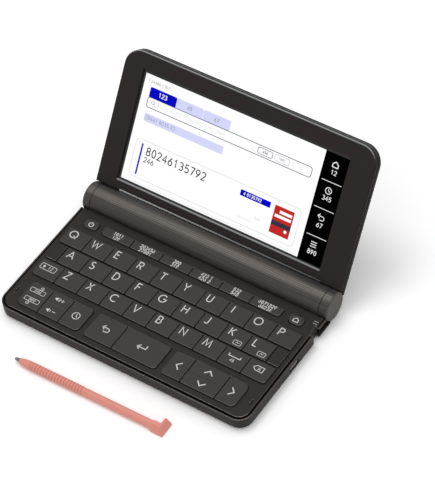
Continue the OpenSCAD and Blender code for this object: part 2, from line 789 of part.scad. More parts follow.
module lid_back() {
    color(body_color) on_lid() difference() {
        union() {
            hull() {
                lid_slab(0, cover_front_z - 1, cover_front_z, cover_start);
                for (p = cover_profile) lid_slab(p[0], p[1], p[1] + 0.2, cover_start);
            }
            // Lip inside the groove, which meets the bezel
            lid_slab(groove_deep, cover_front_z - eps, bezel_back_z, cover_start);
        }
        lid_hinge_cut(swing_r);
        difference() {
            slab(lid_wall, body_w - lid_wall, cover_start, lid_len - lid_wall,
                lid_rear_z + cover_floor_t, bezel_back_z + 1,
                [1, 1, lid_corner_r - lid_wall, lid_corner_r - lid_wall]);
            lid_hinge_cut(swing_r + hinge_wall);
            // Rails that the display panel rests on
            for (y = [screen_low + rail_in, screen_low + screen_h - rail_in - rail_w])
                box([screen_left, y, lid_rear_z], [screen_left + screen_w, y + rail_w, panel_back_z]);
        }
        // Slots for the end caps' tabs
        for (side = [0, 1]) cap_side(side) cap_tab(tab_fit);
    }
}

// Draws its children at the left end, or mirrored at the right end
module cap_side(side) {
    translate([side*body_w, 0, 0]) mirror([side, 0, 0]) children();
}

// The tab that carries the lid on an end cap
module cap_tab(fit) {
    box([tab_x0 - fit, cover_start, tab_low - fit], [tab_x1 + fit, tab_v + fit, tab_low + tab_t + fit]);
}

// Two rounded end caps, each turned in one piece with its hinge pin
module hinge_caps() {
    cap_edge = 1.4;
    color(barrel_color) on_lid() for (side = [0, 1]) cap_side(side) {
        rotate([0, 90, 0]) rotate_extrude($fn = 96) polygon(concat(
            [[0, 0]],
            [for (a = [0:90/8:90]) [barrel_r - cap_edge + cap_edge*sin(a), cap_edge - cap_edge*cos(a)]],
            [[barrel_r, cap_w], [pin_r, cap_w], [pin_r, cap_w + turn_gap + pin_len],
                [0, cap_w + turn_gap + pin_len]]));
        cap_tab(0);
    }
}

// The head's L shape at one level, drawn in from its outer sides by an inset
module head_level(z, outer, inner) {
    x1 = stylus_len - outer;
    out = head_out - outer;
    slab(head_x1 + inner, x1, -out, head_in - inner, z, z + 0.3, [head_round, head_round, 0.3, head_round]);
}

module arm_level(z, outer, inner, end_r) {
    slab(stylus_len - arm_w + inner, stylus_len - outer, -head_out + outer, arm_len - outer/2, z, z + 0.3,
        [head_round, head_round, end_r, end_r]);
}

// The stylus lies on the table with its arm towards the base, pointing its tip to the left
module stylus() {
    rib_pitch = (grip_x1 - grip_x0)/ribs;
    rib_r = stylus_r + rib_deep;
    nose = [[0, 0], [0.55, 0.05], [0.8, 0.5], [1.3, 3.3], [1.5, 3.3], [1.95, 5.6], [rib_r - 0.1, 8.2]];
    color("#f08f84") placed() translate([stylus_x0, -stylus_ahead, head_half]) rotate([0, 0, stylus_turn]) {
        rotate([0, 90, 0]) rotate_extrude($fn = 48) polygon(concat(
            nose,
            [[rib_r, grip_x0 - 0.3], [stylus_r - 0.1, grip_x0 - 0.2], [stylus_r - 0.1, grip_x0]],
            [for (i = [0:ribs - 1], p = [[0.1, rib_r], [0.62, rib_r], [0.72, stylus_r], [1, stylus_r]])
                [p[1], grip_x0 + (i + p[0])*rib_pitch]],
            [[stylus_r, head_x1 + 2], [0, head_x1 + 2]]));
        // Head with sloping outer sides, flared out of the shaft
        hull() {
            translate([head_x1 - flare_len, 0, 0]) rotate([0, 90, 0])
                cylinder(r = stylus_r - 0.05, h = 0.4, $fn = 24);
            head_level(-head_half, 0.4, 0.2);
            head_level(-head_half + 0.5, 0, 0);
            head_level(head_half - 0.3, head_slope, 0.2);
        }
        hull() {
            arm_level(-head_half, 0.4, 0.2, arm_round);
            arm_level(-head_half + 0.5, 0, 0, arm_round);
            arm_level(head_half - 0.3, head_slope, 0.2, arm_top_round);
        }
    }
}

bottom_case();
top_cover();
key_board();
battery_barrel();
batteries();
rubber_feet();
battery_door();
lid_bezel();
lid_back();
display_panel();
lid_trim();
hinge_caps();
stylus();
up_down_rocker();
for (k = KEYS) key(k);
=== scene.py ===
"""Looks of the electronic dictionary: materials, legends, the display, small details, light and camera."""

import json
import math

import bpy
from mathutils import Matrix, Vector


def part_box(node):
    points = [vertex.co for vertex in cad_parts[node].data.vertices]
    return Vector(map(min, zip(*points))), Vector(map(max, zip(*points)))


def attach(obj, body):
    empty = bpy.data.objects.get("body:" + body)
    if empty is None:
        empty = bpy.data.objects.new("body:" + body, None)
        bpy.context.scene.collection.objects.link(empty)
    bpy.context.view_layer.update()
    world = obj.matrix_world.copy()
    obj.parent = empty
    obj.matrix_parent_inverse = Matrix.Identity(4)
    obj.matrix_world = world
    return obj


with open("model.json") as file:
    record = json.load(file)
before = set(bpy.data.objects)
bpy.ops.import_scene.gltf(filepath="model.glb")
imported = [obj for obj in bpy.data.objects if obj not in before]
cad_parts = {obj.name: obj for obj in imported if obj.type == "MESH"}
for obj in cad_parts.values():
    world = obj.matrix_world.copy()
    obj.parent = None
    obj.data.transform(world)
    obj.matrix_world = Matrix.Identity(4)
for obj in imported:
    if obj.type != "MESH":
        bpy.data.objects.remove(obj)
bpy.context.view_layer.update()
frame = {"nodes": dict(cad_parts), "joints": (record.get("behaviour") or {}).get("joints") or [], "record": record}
MM = 0.001

# Places taken from the frame
CASE_LOW, CASE_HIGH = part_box("bottom_case")
BODY_W = (CASE_HIGH.x - CASE_LOW.x) / MM
HINGE = next(j for j in frame["joints"] if j["name"] == "lid_hinge")
HINGE_AT = Vector(HINGE["pos_m"])
LID_ANGLE = math.radians(180 - HINGE["range_deg"][1])


def on_base(x, y, z):
    """A place in millimetres from the base's left side, the case's front edge and the table."""
    return Vector((CASE_LOW.x + x * MM, CASE_LOW.y + y * MM, z * MM))


TO_METRES = Matrix.Scale(MM, 4)
BASE = Matrix.Translation(on_base(0, 0, 0)) @ TO_METRES
LID_START = Matrix.Translation((CASE_LOW.x, HINGE_AT.y, HINGE_AT.z))
LID = LID_START @ Matrix.Rotation(LID_ANGLE, 4, "X") @ TO_METRES


# Shader nodes
def new_material(name, rough, metal=0.0, shine=0.5):
    made = bpy.data.materials.new(name)
    made.use_nodes = True
    shader = made.node_tree.nodes["Principled BSDF"]
    shader.inputs["Roughness"].default_value = rough
    shader.inputs["Metallic"].default_value = metal
    shader.inputs["Specular IOR Level"].default_value = shine
    return made, made.node_tree, shader


def add(tree, kind, **settings):
    made = tree.nodes.new(kind)
    for key, value in settings.items():
        setattr(made, key, value)
    return made


def opaque(color):
    return (*color, 1)


def times(color, factor):
    return [c * factor for c in color]


def feed(tree, socket, value):
    """Links an output to a socket, or writes a plain value into it."""
    if isinstance(value, bpy.types.NodeSocket):
        tree.links.new(value, socket)
    else:
        socket.default_value = value


def calc(tree, operation, *values):
    """The result of a Math node on outputs or plain numbers."""
    made = add(tree, "ShaderNodeMath", operation=operation)
    for socket, value in zip(made.inputs, values):
        feed(tree, socket, value)
    return made.outputs["Value"]


def vector_calc(tree, operation, first, second, result):
    """The named result of a Vector Math node on two vectors."""
    made = add(tree, "ShaderNodeVectorMath", operation=operation)
    feed(tree, made.inputs[0], first)
    feed(tree, made.inputs[1], second)
    return made.outputs[result]


def mixed(tree, share, first, second, blend="MIX"):
    """The first colour, with a share of the second laid over it."""
    made = add(tree, "ShaderNodeMix", data_type="RGBA", blend_type=blend)
    for name, value in (("Factor", share), ("A", first), ("B", second)):
        feed(tree, made.inputs[name], value)
    return made.outputs["Result"]


def multiplied(tree, color, factor):
    """A colour times a factor, which may be a colour too."""
    return mixed(tree, 1.0, color, factor, "MULTIPLY")


def ranged(tree, value, low, high, start, end, **settings):
    """A value moved from one range to another."""
    made = add(tree, "ShaderNodeMapRange", **settings)
    tree.links.new(value, made.inputs["Value"])
    for name, number in (("From Min", low), ("From Max", high), ("To Min", start), ("To Max", end)):
        made.inputs[name].default_value = number
    return made.outputs["Result"]


def own(tree, kind="Object"):
    """A point's place or normal, measured in its own piece."""
    return add(tree, "ShaderNodeTexCoord").outputs[kind]


def parts_of(tree, vector):
    """The outputs X, Y and Z of a vector."""
    made = add(tree, "ShaderNodeSeparateXYZ")
    tree.links.new(vector, made.inputs["Vector"])
    return made.outputs


def from_hinge(tree):
    """Places measured from the hinge's line, in the surface's own piece."""
    return vector_calc(tree, "SUBTRACT", own(tree), HINGE_AT, "Vector")


def openness(tree, reach, **settings):
    """How open it is round a point, within a reach in millimetres."""
    made = add(tree, "ShaderNodeAmbientOcclusion", samples=6, **settings)
    made.inputs["Distance"].default_value = reach * MM
    return made.outputs["AO"]


def with_painted_shade(tree, color, reach, darkest, closed=0.1, full=0.8):
    """A colour with painted shade, darker down in gaps and grooves."""
    return multiplied(tree, color, ranged(tree, openness(tree, reach), closed, full, darkest, 1))


def rounded(tree, radius, samples=4, bump=None):
    """The normal of a surface whose edges are rounded a little, as moulded parts have them."""
    made = add(tree, "ShaderNodeBevel", samples=samples)
    made.inputs["Radius"].default_value = radius * MM
    if bump is not None:
        tree.links.new(bump, made.inputs["Normal"])
    return made.outputs["Normal"]


BUMP_HEIGHT = 0.05
BUMP_DETAIL = 3


def fine_bump(tree, scale, strength, stretch=(1, 1, 1)):
    """The normal of a fine grain, and the grain's own pattern."""
    spread = add(tree, "ShaderNodeMapping")
    spread.inputs["Scale"].default_value = stretch
    noise = add(tree, "ShaderNodeTexNoise")
    noise.inputs["Scale"].default_value = scale
    noise.inputs["Detail"].default_value = BUMP_DETAIL
    bump = add(tree, "ShaderNodeBump")
    bump.inputs["Strength"].default_value = strength
    bump.inputs["Distance"].default_value = BUMP_HEIGHT * MM
    tree.links.new(own(tree), spread.inputs["Vector"])
    tree.links.new(spread.outputs["Vector"], noise.inputs["Vector"])
    tree.links.new(noise.outputs["Fac"], bump.inputs["Height"])
    return bump.outputs["Normal"], noise.outputs["Fac"]


SPLIT_SOFT = 0.02


def split_at(tree, place, left, right):
    """One colour to the left of a place, in millimetres from the frame's origin, and another past it."""
    start, end = (place - SPLIT_SOFT) * MM, (place + SPLIT_SOFT) * MM
    share = ranged(tree, parts_of(tree, own(tree))["X"], start, end, 0, 1)
    return mixed(tree, share, opaque(left), opaque(right))


# Materials, with lengths in millimetres
# The ways that the edges with a painted highlight face, and the cosines of the angles from there at which the
# painted highlight starts and is full
FRONT_EDGE = (0.45, -0.55, 0.70)
UPPER_EDGE = (0.0, -0.2, 0.98)
EDGE_FACING = (0.76, 0.9)
# Just inside an outer edge it is less open; the painted highlight is full up to the first value and gone at the
# second
OUTER_EDGES = (0.75, 0.95)
EDGE_REACH = 0.4
GRAIN, GRAIN_STRENGTH = 2600, 0.12
# How dark the painted shade gets in the closest gaps
DARKEST_PAINTED_SHADE = 0.1


def plastic(name, color, rough, shine, edge, painted_highlight_color, reach, lit_edge, outer_only=False):
    """Moulded plastic, with a painted highlight along the edges that face the light and painted shade down in gaps
    and grooves.
    """
    made, tree, shader = new_material(name, rough=rough, shine=shine)
    bump, _ = fine_bump(tree, GRAIN, GRAIN_STRENGTH)
    to_piece = {"vector_type": "NORMAL", "convert_from": "WORLD", "convert_to": "OBJECT"}
    turned = add(tree, "ShaderNodeVectorTransform", **to_piece)
    tree.links.new(rounded(tree, edge, samples=6), turned.inputs["Vector"])
    facing = vector_calc(tree, "DOT_PRODUCT", turned.outputs["Vector"], lit_edge, "Value")
    # Painted highlight: how far the rounded normal here turns toward the way a lit edge faces
    share = ranged(tree, facing, *EDGE_FACING, 0, 1)
    if outer_only:
        inside = openness(tree, EDGE_REACH, inside=True, only_local=True)
        share = calc(tree, "MULTIPLY", share, ranged(tree, inside, *OUTER_EDGES, 1, 0))
    # Painted shade down in gaps and grooves
    face = with_painted_shade(tree, opaque(color), reach, DARKEST_PAINTED_SHADE)
    tree.links.new(mixed(tree, share, face, opaque(painted_highlight_color)), shader.inputs["Base Color"])
    tree.links.new(rounded(tree, edge, bump=bump), shader.inputs["Normal"])
    return made


def plain(name, color, rough, metal=0.0, edge=0.0):
    made, tree, shader = new_material(name, rough=rough, metal=metal)
    shader.inputs["Base Color"].default_value = opaque(color)
    if edge:
        tree.links.new(rounded(tree, edge), shader.inputs["Normal"])
    return made


def lit(name, color):
    """A patch of the display that shines by itself."""
    made, _, shader = new_material(name, rough=0.9, shine=0.0)
    shader.inputs["Base Color"].default_value = (0.001, 0.001, 0.001, 1)
    shader.inputs["Emission Color"].default_value = opaque(color)
    shader.inputs["Emission Strength"].default_value = 1.0
    return made


CASE_COLOR = (0.0310, 0.0255, 0.0237)
KEY_COLOR = (0.0492, 0.0420, 0.0403)
LID_COLOR = (0.0315, 0.0270, 0.0262)
# The case, lid and keys carry painted highlights along their lit edges and painted shade in their gaps
case_mat = plastic(
    "case_plastic", CASE_COLOR, rough=0.45, shine=0.12, edge=0.35, painted_highlight_color=times(CASE_COLOR, 24.0),
    reach=5.0, lit_edge=FRONT_EDGE, outer_only=True,
)
lid_mat = plastic(
    "lid_plastic", LID_COLOR, rough=0.5, shine=0.04, edge=0.45, painted_highlight_color=(0.29, 0.30, 0.31),
    reach=0.5, lit_edge=UPPER_EDGE,
)
key_mat = plastic(
    "key_plastic", KEY_COLOR, rough=0.55, shine=0.2, edge=0.35, painted_highlight_color=times(KEY_COLOR, 2.9),
    reach=1.6, lit_edge=FRONT_EDGE,
)
legend_mat = plain("legend_print", (0.70, 0.69, 0.68), rough=0.55)
rubber_mat = plain("foot_rubber", (0.02, 0.02, 0.02), rough=0.8)
# Dark plastic for the socket's tongue, and painted shade for the crosses in the screw heads
dark_plastic_and_shade_mat = plain("dark_plastic_and_painted_shade", (0.006, 0.006, 0.006), rough=0.7)
steel_mat = plain("steel", (0.55, 0.55, 0.56), rough=0.32, metal=1.0, edge=0.1)
glass_mat = plain("display_glass", (0.003, 0.003, 0.003), rough=0.2)
# Painted highlight for the tops of the ribs by the finger notch
rib_highlight_mat = plain("painted_rib_highlight", (0.30, 0.30, 0.30), rough=0.5)

STREAK_SCALE, STREAK_STRENGTH, STREAK_STRETCH = 2000, 0.5, (0.01, 1.5, 1.5)
STREAK_TONES = ((0.36, (0.080, 0.069, 0.061)), (0.66, (0.150, 0.131, 0.115)))
BARREL_END_COLOR = (0.080, 0.071, 0.064)
BARREL_END_FACING = (0.55, 0.85)
BARREL_EDGE = 0.4
GROOVES = 46
GROOVE_TONES = (0.68, 1.28)
# Painted sheen: lighter round this angle from straight up toward the front, in place of the lamp's highlight, and
# darker away from it
PAINTED_SHEEN_AT = math.radians(12)
PAINTED_SHEEN_WIDTH = (math.radians(6), math.radians(24))
PAINTED_SHEEN_TONES = (1.2, 0.56)


def barrel_material():
    """Dark bronze with fine grooves along the barrel's length, a painted sheen, painted shade where other parts
    come close, and plain darker ends.
    """
    made, tree, shader = new_material("barrel_finish_and_painted_sheen", rough=0.48, metal=0.1, shine=0.3)
    bump, pattern = fine_bump(tree, STREAK_SCALE, STREAK_STRENGTH, STREAK_STRETCH)
    streaks = add(tree, "ShaderNodeValToRGB")
    for stop, (place, color) in zip(streaks.color_ramp.elements, STREAK_TONES):
        stop.position = place
        stop.color = opaque(color)
    tree.links.new(pattern, streaks.inputs["Fac"])
    around = parts_of(tree, from_hinge(tree))
    angle = calc(tree, "ARCTAN2", around["Y"], around["Z"])
    wave = calc(tree, "SINE", calc(tree, "MULTIPLY", angle, GROOVES))
    away = calc(tree, "ABSOLUTE", calc(tree, "ADD", angle, PAINTED_SHEEN_AT))
    sheen = ranged(tree, away, *PAINTED_SHEEN_WIDTH, *PAINTED_SHEEN_TONES, interpolation_type="SMOOTHSTEP")
    # Painted shade where the deck and the lid come close
    side = with_painted_shade(tree, streaks.outputs["Color"], reach=6.0, darkest=0.02, closed=0.35, full=0.88)
    side = multiplied(tree, side, ranged(tree, wave, -1, 1, *GROOVE_TONES))
    side = multiplied(tree, side, sheen)
    sideways = calc(tree, "ABSOLUTE", parts_of(tree, own(tree, "Normal"))["X"])
    at_end = ranged(tree, sideways, *BARREL_END_FACING, 0, 1)
    tree.links.new(mixed(tree, at_end, side, opaque(BARREL_END_COLOR)), shader.inputs["Base Color"])
    tree.links.new(rounded(tree, BARREL_EDGE, bump=bump), shader.inputs["Normal"])
    return made


TIP_COLOR = (0.19, 0.19, 0.20)
CORAL = (0.82, 0.30, 0.235)
# Painted shade in the grooves of the grip
GRIP_GROOVE_SHADE_COLOR = (0.66, 0.215, 0.165)
TIP_LENGTH = 3.3
GRIP_FROM, GRIP_TO = 10.6, 43.0
GRIP_RIBS, RIB_SHARE = 18, 0.66
STYLUS_EDGE = 0.2


def stylus_material():
    """Coral plastic with a grey tip, and painted shade in the grooves between the grip's ribs."""
    made, tree, shader = new_material("stylus_plastic", rough=0.4)
    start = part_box("stylus")[0].x / MM
    grip = (start + GRIP_FROM) * MM, (start + GRIP_TO) * MM
    along = ranged(tree, parts_of(tree, own(tree))["X"], *grip, 0, GRIP_RIBS, clamp=False)
    in_groove = calc(tree, "GREATER_THAN", calc(tree, "FRACT", along), RIB_SHARE)
    on_grip = calc(tree, "COMPARE", along, GRIP_RIBS / 2, GRIP_RIBS / 2)
    body = split_at(tree, start + TIP_LENGTH, TIP_COLOR, CORAL)
    color = mixed(tree, calc(tree, "MULTIPLY", in_groove, on_grip), body, opaque(GRIP_GROOVE_SHADE_COLOR))
    tree.links.new(color, shader.inputs["Base Color"])
    tree.links.new(rounded(tree, STYLUS_EDGE), shader.inputs["Normal"])
    return made


# The trim's two halves meet at this distance up the lid from the hinge's line
TRIM_SPLIT, TRIM_SOFT = 9.55, 0.05
# How dark the upper half is, and how much of the painted reflection is left at the right end
TRIM_DARK, TRIM_REFLECTION_AT_RIGHT = 0.03, 0.2


def trim_material():
    """Bright along the trim's lower half and dark above it, with a painted reflection that fades toward the right.
    """
    made, tree, shader = new_material("polished_trim", rough=0.3, metal=1.0)
    place = from_hinge(tree)
    up = vector_calc(tree, "DOT_PRODUCT", place, (0, math.cos(LID_ANGLE), math.sin(LID_ANGLE)), "Value")
    left, right = (v.x - HINGE_AT.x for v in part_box("lid_trim"))
    reflection_fade = ranged(tree, parts_of(tree, place)["X"], left, right, 1, TRIM_REFLECTION_AT_RIGHT)
    split = (TRIM_SPLIT - TRIM_SOFT) * MM, (TRIM_SPLIT + TRIM_SOFT) * MM
    tone = calc(tree, "MULTIPLY", reflection_fade, ranged(tree, up, *split, 1, TRIM_DARK))
    tree.links.new(tone, shader.inputs["Base Color"])
    return made


BOARD_GREEN = (0.02, 0.10, 0.045)
SHELL_COLOR, SHELL_METAL = (0.80, 0.80, 0.81), (0.3, 0.3, 0.3)
SHELL_LENGTH = 2.4


def board_material():
    """Green circuit board, with the socket's steel shell at its right end."""
    made, tree, shader = new_material("board_finish", rough=0.35)
    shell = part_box("key_board")[1].x / MM - SHELL_LENGTH
    tree.links.new(split_at(tree, shell, BOARD_GREEN, SHELL_COLOR), shader.inputs["Base Color"])
    tree.links.new(split_at(tree, shell, (0, 0, 0), SHELL_METAL), shader.inputs["Metallic"])
    return made


CELL_DARK, CELL_LIGHT = (0.10, 0.10, 0.11), (0.50, 0.51, 0.53)
CELL_BAND = 34


def cell_material():
    """Printed sleeves with a darker band at one end of the pair."""
    made, tree, shader = new_material("cell_sleeve", rough=0.3, metal=0.6)
    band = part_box("batteries")[0].x / MM + CELL_BAND
    tree.links.new(split_at(tree, band, CELL_DARK, CELL_LIGHT), shader.inputs["Base Color"])
    return made


barrel_mat = barrel_material()
NODE_MATERIALS = {
    "bottom_case": case_mat,
    "top_cover": case_mat,
    "key_board": board_material(),
    "battery_barrel": barrel_mat,
    "battery_door": barrel_mat,
    "batteries": cell_material(),
    "rubber_feet": rubber_mat,
    "lid_bezel": lid_mat,
    "lid_back": lid_mat,
    "display_panel": glass_mat,
    "lid_trim": trim_material(),
    "hinge_caps": barrel_mat,
    "stylus": stylus_material(),
}
for name, obj in frame["nodes"].items():
    obj.data.materials.clear()
    obj.data.materials.append(NODE_MATERIALS.get(name, key_mat))


# Flat printed shapes, as polygons in millimetres
def arc(cx, cy, rx, ry, start, end, steps=14):
    turns = [math.radians(start + (end - start) * i / steps) for i in range(steps + 1)]
    return [(cx + rx * math.cos(turn), cy + ry * math.sin(turn)) for turn in turns]


def circle(cx, cy, r, steps=28):
    return arc(cx, cy, r, r, 0, 360 - 360 / steps, steps - 1)


def rectangle(x0, y0, x1, y1, r=0.0):
    if r <= 0:
        return [(x0, y0), (x1, y0), (x1, y1), (x0, y1)]
    return (
        arc(x0 + r, y0 + r, r, r, 180, 270, 5)
        + arc(x1 - r, y0 + r, r, r, 270, 360, 5)
        + arc(x1 - r, y1 - r, r, r, 0, 90, 5)
        + arc(x0 + r, y1 - r, r, r, 90, 180, 5)
    )


def ribbon(points, width, closed=False):
    """The quads of a line of even width through the points, mitred where it bends."""
    path = [Vector(p) for p in points]
    count = len(path)
    left, right = [], []
    for i, at in enumerate(path):
        before = path[i - 1] if i or closed else None
        after = path[(i + 1) % count] if i < count - 1 or closed else None
        pairs = ((before, at), (at, after))
        ways = [(b - a).normalized() for a, b in pairs if a is not None and b is not None]
        way = sum(ways, Vector((0, 0))).normalized()
        side = Vector((-way.y, way.x))
        reach = 1 / max(0.5, side.dot(Vector((-ways[0].y, ways[0].x))))
        left.append(at + side * width / 2 * reach)
        right.append(at - side * width / 2 * reach)
    quads = []
    for i in range(count if closed else count - 1):
        following = (i + 1) % count
        quads.append([tuple(p) for p in (right[i], right[following], left[following], left[i])])
    return quads


def outline(x0, y0, x1, y1, r, width):
    return ribbon(rectangle(x0, y0, x1, y1, r), width, True)


def moved(shapes, dx, dy, scale=1.0):
    return [[(x * scale + dx, y * scale + dy) for x, y in shape] for shape in shapes]


def new_piece(name, vertices, faces, material, body):
    mesh = bpy.data.meshes.new(name)
    mesh.from_pydata(vertices, [], faces)
    obj = bpy.data.objects.new(name, mesh)
    bpy.context.collection.objects.link(obj)
    mesh.materials.append(material)
    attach(obj, body)


# How far one printed layer lies over the next, and over the face below it
LAYER = 0.02


def flat(name, shapes, material, body, place, height):
    """One thin printed piece made of polygons, laid at a height in the frame given by place."""
    vertices, faces = [], []
    for shape in shapes:
        first = len(vertices)
        vertices += [tuple(place @ Vector((x, y, height))) for x, y in shape]
        faces.append(list(range(first, first + len(shape))))
    new_piece(name, vertices, faces, material, body)


def solid(name, profile, material, body, place, low, high):
    """A thin prism over a polygon, from one height to another."""
    count = len(profile)
    vertices = [tuple(place @ Vector((x, y, z))) for z in (low, high) for x, y in profile]
    faces = [list(range(count))[::-1], list(range(count, 2 * count))]
    faces += [[i, (i + 1) % count, count + (i + 1) % count, count + i] for i in range(count)]
    new_piece(name, vertices, faces, material, body)


# Letters and figures as strokes, in units of their height
ROUND = arc(0.5, 0.5, 0.5, 0.5, 0, 352, 26)
BOWL_P = [(0.08, 0), (0.08, 1), (0.36, 1)] + arc(0.36, 0.74, 0.26, 0.26, 80, -80, 9)
BOWL_P += [(0.36, 0.48), (0.08, 0.48)]
BOWLS_B = [(0.08, 0.53), (0.36, 0.53)] + arc(0.36, 0.765, 0.235, 0.235, -80, 80, 9)
BOWLS_B += [(0.36, 1), (0.08, 1), (0.08, 0), (0.38, 0)]
BOWLS_B += arc(0.38, 0.265, 0.265, 0.265, -80, 80, 9) + [(0.36, 0.53)]
LETTERS = {
    "a": [[(0, 0), (0.43, 1), (0.86, 0)], [(0.15, 0.32), (0.71, 0.32)]],
    "b": [BOWLS_B],
    "c": [arc(0.5, 0.5, 0.48, 0.5, 48, 312, 20)],
    "d": [[(0.08, 0), (0.08, 1), (0.3, 1)] + arc(0.3, 0.5, 0.47, 0.5, 80, -80, 15) + [(0.3, 0), (0.04, 0)]],
    "e": [[(0.58, 1), (0.08, 1), (0.08, 0), (0.6, 0)], [(0.08, 0.52), (0.54, 0.52)]],
    "f": [[(0.58, 1), (0.08, 1), (0.08, 0)], [(0.08, 0.52), (0.5, 0.52)]],
    "g": [arc(0.5, 0.5, 0.48, 0.5, 48, 358, 22) + [(0.56, 0.48)]],
    "h": [[(0.08, 0), (0.08, 1)], [(0.72, 0), (0.72, 1)], [(0.08, 0.52), (0.72, 0.52)]],
    "i": [[(0.3, 0), (0.3, 1)]],
    "j": [[(0.42, 1), (0.42, 0.24)] + arc(0.22, 0.22, 0.2, 0.22, -5, -150, 9)],
    "k": [[(0.08, 0), (0.08, 1)], [(0.62, 1), (0.1, 0.42)], [(0.24, 0.58), (0.66, 0)]],
    "l": [[(0.08, 1), (0.08, 0), (0.54, 0)]],
    "m": [[(0, 0), (0.16, 1), (0.47, 0.12), (0.78, 1), (0.94, 0)]],
    "n": [[(0.06, 0), (0.06, 1), (0.72, 0), (0.72, 1)]],
    "o": [ROUND],
    "p": [BOWL_P],
    "q": [ROUND, [(0.58, 0.36), (0.98, -0.04)]],
    "r": [BOWL_P, [(0.32, 0.48), (0.62, 0)]],
    "s": [arc(0.3, 0.75, 0.24, 0.25, 55, 250, 12) + arc(0.3, 0.26, 0.27, 0.26, 80, -145, 14)],
    "t": [[(0, 1), (0.64, 1)], [(0.32, 1), (0.32, 0)]],
    "u": [[(0.06, 1), (0.06, 0.34)] + arc(0.36, 0.31, 0.3, 0.31, 185, 355, 14) + [(0.66, 0.34), (0.66, 1)]],
    "v": [[(0, 1), (0.37, 0), (0.74, 1)]],
    "w": [[(0, 1), (0.27, 0), (0.53, 0.85), (0.79, 0), (1.06, 1)]],
    "x": [[(0, 0), (0.62, 1)], [(0.02, 1), (0.64, 0)]],
    "y": [[(0, 1), (0.34, 0.45), (0.68, 1)], [(0.34, 0.46), (0.34, 0)]],
    "z": [[(0.02, 1), (0.6, 1), (0, 0), (0.64, 0)]],
}
FIGURES = {
    "0": [arc(0.28, 0.5, 0.26, 0.5, 0, 360, 14)],
    "1": [[(0.08, 0.78), (0.3, 1), (0.3, 0)]],
    "2": [arc(0.28, 0.72, 0.26, 0.28, 165, -25, 8) + [(0.02, 0), (0.56, 0)]],
    "3": [arc(0.26, 0.75, 0.24, 0.25, 150, -80, 8) + arc(0.26, 0.26, 0.28, 0.26, 80, -150, 9)],
    "4": [[(0.42, 0), (0.42, 1), (0, 0.3), (0.6, 0.3)]],
    "5": [[(0.52, 1), (0.1, 1), (0.06, 0.55)] + arc(0.26, 0.31, 0.28, 0.31, 115, -145, 9)],
    "6": [[(0.46, 1), (0.08, 0.5)] + arc(0.28, 0.3, 0.26, 0.3, 150, 510, 14)],
    "7": [[(0.02, 1), (0.56, 1), (0.18, 0)]],
    "8": [arc(0.28, 0.76, 0.22, 0.24, -90, 270, 12), arc(0.28, 0.26, 0.27, 0.26, 90, 450, 12)],
    "9": [arc(0.28, 0.7, 0.26, 0.3, -30, 330, 14) + [(0.5, 0.5), (0.1, 0)]],
}
CLOSED_LETTERS = ("o", "q")
FIGURE_WIDTH, FIGURE_STEP, SPACE_STEP = 0.58, 0.82, 0.5


def strokes(lines, width, scale, closed_first=False):
    shapes = []
    for i, line in enumerate(lines):
        shapes += ribbon([(x * scale, y * scale) for x, y in line], width, closed_first and i == 0)
    return shapes


def step_of(mark):
    return SPACE_STEP if mark == " " else FIGURE_STEP


def figures(text, x, y, high, line):
    """Plain figures in a row, from the left end of their base line."""
    shapes = []
    for mark in text:
        if mark != " ":
            shapes += moved(strokes(FIGURES[mark], line, high), x, y)
        x += high * step_of(mark)
    return shapes


def centred(text, x, y, high, line):
    """Plain figures in a row, round their middle."""
    width = high * (sum(step_of(mark) for mark in text) - FIGURE_STEP + FIGURE_WIDTH)
    return figures(text, x - width / 2, y - high / 2, high, line)


def tag_outline(w, h, line):
    """A rounded outline, centred on the origin."""
    return outline(-w / 2, -h / 2, w / 2, h / 2, h * 0.22, line)


# Plain icons, centred on the origin, in millimetres
def icon_power():
    return ribbon(arc(0, 0, 1.35, 1.35, 125, 415, 22), 0.5) + ribbon([(0, 0.2), (0, 1.8)], 0.5)


def icon_home():
    return ribbon([(-1.4, -1.2), (-1.4, 0.3), (0, 1.4), (1.4, 0.3), (1.4, -1.2)], 0.48, True)


def icon_shift():
    arrow = [(0, 0.95), (0.95, 0), (0.42, 0), (0.42, -0.9), (-0.42, -0.9), (-0.42, 0), (-0.95, 0)]
    return tag_outline(9.4, 3.6, 0.32) + moved([arrow], -2.6, 0) + centred("12", 1.4, 0, 1.9, 0.3)


def icon_page(text, side):
    """A tag with figures, and a ringed arrow above it (side 1) or below it (side -1)."""
    x, y = 1.2 * side, 2.5 * side
    arrow = ribbon([(x - 0.35, y - 0.15 * side), (x, y + 0.25 * side), (x + 0.35, y - 0.15 * side)], 0.2)
    label = tag_outline(9.0, 2.5, 0.28) + centred(text, 0, 0, 1.35, 0.24)
    return label + ribbon(circle(x, y, 0.85, 16), 0.26, True) + arrow


def icon_volume(louder):
    speaker = [[(-2.9, -0.5), (-2.2, -0.5), (-1.3, -1.25), (-1.3, 1.25), (-2.2, 0.5), (-2.9, 0.5)]]
    waves = ribbon(arc(-1.3, 0, 0.9, 0.9, -50, 50, 8), 0.32)
    sign = ribbon([(0.7, 0), (2.7, 0)], 0.4)
    if louder:
        waves += ribbon(arc(-1.3, 0, 1.5, 1.5, -50, 50, 8), 0.3)
        sign += ribbon([(1.7, -1.0), (1.7, 1.0)], 0.4)
    return speaker + waves + sign


def icon_history():
    return ribbon(circle(0, 0, 2.1), 0.42, True) + ribbon([(0, 1.25), (0, 0), (1.0, -0.7)], 0.4)


def icon_back():
    bend = arc(0.9, -0.45, 1.25, 1.25, 80, -80, 10)
    line = ribbon([(-2.2, 0.8), (0.9, 0.8)] + bend + [(0.9, -1.7), (-0.8, -1.7)], 0.5)
    return line + ribbon([(-0.9, 2.2), (-2.3, 0.8), (-0.9, -0.6)], 0.5)


